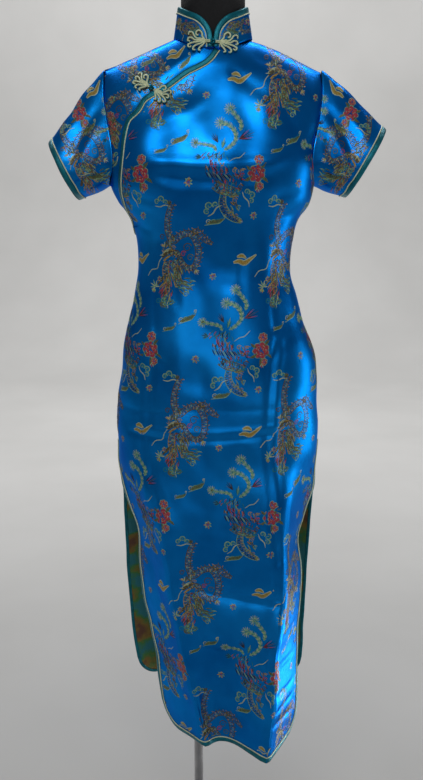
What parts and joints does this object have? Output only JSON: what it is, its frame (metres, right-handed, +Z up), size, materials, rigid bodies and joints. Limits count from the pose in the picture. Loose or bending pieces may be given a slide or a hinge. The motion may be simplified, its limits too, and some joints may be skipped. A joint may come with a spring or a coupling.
{
  "type": "cheongsam dress on a dress form",
  "caption": "Blue satin brocade cheongsam with cap sleeves, stand collar, slanted frog-fastened opening and side slits, worn by a limbless black dress form on a pole stand.",
  "frame": {"origin": "middle of the foot's underside, on the floor, under the pole's axis", "axes": "+Z up along the pole; the front of the dress faces -Y; the wearer's left is +X"},
  "size_m": [0.5766, 0.344, 1.6353],
  "materials": {
    "brocade": "glossy blue satin brocade with woven motifs",
    "teal_satin": "satin bias binding",
    "cream_cord": "satin piping and cord",
    "black_jersey": "matte stretch jersey",
    "steel": "smooth steel tube",
    "black_paint": "satin black paint"
  },
  "bodies": {
    "root": {"front_panel": "brocade", "back_panel": "brocade", "under_flap": "brocade", "sleeve_right": "brocade", "sleeve_left": "brocade", "collar": "brocade", "front_hem_binding": "teal_satin", "back_hem_binding": "teal_satin", "opening_binding": "teal_satin", "cuff_right_binding": "teal_satin", "cuff_left_binding": "teal_satin", "collar_binding": "teal_satin", "front_hem_piping": "cream_cord", "back_hem_piping": "cream_cord", "opening_piping": "cream_cord", "cuff_right_piping": "cream_cord", "cuff_left_piping": "cream_cord", "collar_piping": "cream_cord", "collar_frog_right": "cream_cord", "collar_frog_left": "cream_cord", "collar_frog_knot": "teal_satin", "opening_frog_right": "cream_cord", "opening_frog_left": "cream_cord", "opening_frog_knot": "teal_satin", "form_torso": "black_jersey", "form_cap": "black_paint", "form_plate": "black_paint", "pole": "steel", "base": "black_paint"}
  },
  "joints": []
}
